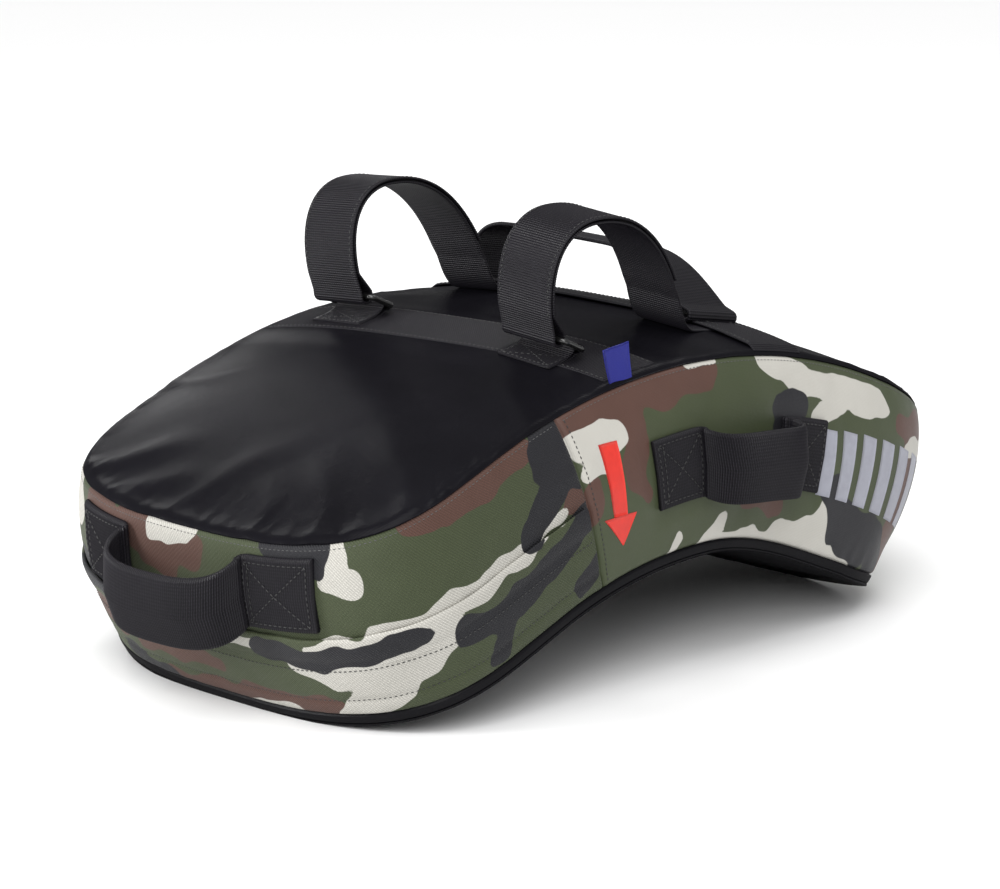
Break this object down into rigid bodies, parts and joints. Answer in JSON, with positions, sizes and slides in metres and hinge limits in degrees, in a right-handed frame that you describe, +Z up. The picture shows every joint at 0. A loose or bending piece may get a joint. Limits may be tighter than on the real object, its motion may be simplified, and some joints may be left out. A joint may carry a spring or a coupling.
{
  "type": "curved kick shield",
  "caption": "Banana-bent padded kick shield with two forearm straps on plastic rings, a crosswise hand grip, and webbing handles on the end and sides.",
  "frame": {"origin": "middle of the shield's bounding box at the level of the surface it lies on", "axes": "+X across the shield to the holder's side handle, +Y along its length from the toe with the end handle to the far end, +Z up out of the convex back that carries the straps"},
  "size_m": [0.428, 0.6392, 0.3119],
  "materials": {
    "leatherette": "semi-gloss",
    "camo_smooth": "satin",
    "camo_oxford": "satin weave",
    "foam_soft": "matt",
    "foam_dense": "matt",
    "zip_tape": "matt",
    "zip_plastic": "matt",
    "zip_metal": "satin",
    "webbing": "ribbed weave",
    "ring_plastic": "gloss",
    "hook_tape": "matt",
    "label": "satin weave"
  },
  "bodies": {
    "shield": {"back_panel": "leatherette", "strike_panel": "leatherette", "side_panel": "camo_smooth", "gusset_upper": "camo_oxford", "gusset_lower": "camo_oxford", "foam_back": "foam_soft", "foam_core": "foam_soft", "foam_strike": "foam_dense", "zip_flap": "camo_oxford", "zip_tape": "zip_tape", "zip_teeth": "zip_plastic", "near_band": "webbing", "far_band": "webbing", "ring_tab_left": "webbing", "ring_tab_right": "webbing", "strap_ends_left": "webbing", "strap_ends_right": "webbing", "cross_handle_feet": "webbing", "end_handle_patches": "webbing", "side_handle_patches_left": "webbing", "side_handle_patches_right": "webbing", "seam_label": "label"},
    "forearm_left": {"strap_inner_left": "webbing", "strap_outer_left": "webbing", "hook_tape_left": "hook_tape"},
    "forearm_right": {"strap_inner_right": "webbing", "strap_outer_right": "webbing", "hook_tape_right": "hook_tape"},
    "ring_left": {"ring_left": "ring_plastic"},
    "ring_right": {"ring_right": "ring_plastic"},
    "cross_handle": {"cross_handle_loop": "webbing"},
    "end_handle": {"end_handle_loop": "webbing"},
    "side_handle_left": {"side_handle_loop_left": "webbing"},
    "side_handle_right": {"side_handle_loop_right": "webbing"},
    "zip_slider": {"zip_slider": "zip_metal"},
    "zip_pull": {"zip_pull": "zip_metal"}
  },
  "joints": [
    {"name": "forearm_left_lean", "type": "hinge", "parent": "shield", "child": "forearm_left", "pos_m": [-0.09381, 0.01265, 0.2428], "axis": [0, 0.9997, 0.025], "range_deg": [-18, 18], "stiffness_Nm_per_rad": 0.35},
    {"name": "forearm_right_lean", "type": "hinge", "parent": "shield", "child": "forearm_right", "pos_m": [0.09381, 0.01265, 0.2428], "axis": [0, 0.9997, 0.025], "range_deg": [-18, 18], "stiffness_Nm_per_rad": 0.35},
    {"name": "ring_left_rock", "type": "hinge", "parent": "shield", "child": "ring_left", "pos_m": [-0.09236, -0.03285, 0.2225], "axis": [0.9971, -0.0019, 0.0756], "range_deg": [-4, 4]},
    {"name": "ring_right_rock", "type": "hinge", "parent": "shield", "child": "ring_right", "pos_m": [0.09236, -0.03285, 0.2225], "axis": [0.9971, 0.0019, -0.0756], "range_deg": [-4, 4]},
    {"name": "cross_handle_lean", "type": "hinge", "parent": "shield", "child": "cross_handle", "pos_m": [0, 0.12083, 0.21592], "axis": [1, 0, 0], "range_deg": [-15, 15], "stiffness_Nm_per_rad": 0.35},
    {"name": "end_handle_flop", "type": "hinge", "parent": "shield", "child": "end_handle", "pos_m": [0, -0.27909, 0.09219], "axis": [1, 0, 0], "range_deg": [-12, 12], "stiffness_Nm_per_rad": 0.35},
    {"name": "side_handle_left_flop", "type": "hinge", "parent": "shield", "child": "side_handle_left", "pos_m": [-0.17573, 0.06207, 0.1428], "axis": [0, 0.9963, -0.0857], "range_deg": [-12, 12], "stiffness_Nm_per_rad": 0.35},
    {"name": "side_handle_right_flop", "type": "hinge", "parent": "shield", "child": "side_handle_right", "pos_m": [0.17573, 0.06207, 0.1428], "axis": [0, 0.9963, -0.0857], "range_deg": [-12, 12], "stiffness_Nm_per_rad": 0.35},
    {"name": "zip_slide", "type": "slide", "parent": "shield", "child": "zip_slider", "axis": [0, 0.9317, 0.3632], "range_m": [-0.036, 0]},
    {"name": "zip_pull_swing", "type": "hinge", "parent": "zip_slider", "child": "zip_pull", "pos_m": [-0.17593, -0.12212, 0.11324], "axis": [1, 0, 0], "range_deg": [-12, 12]}
  ]
}
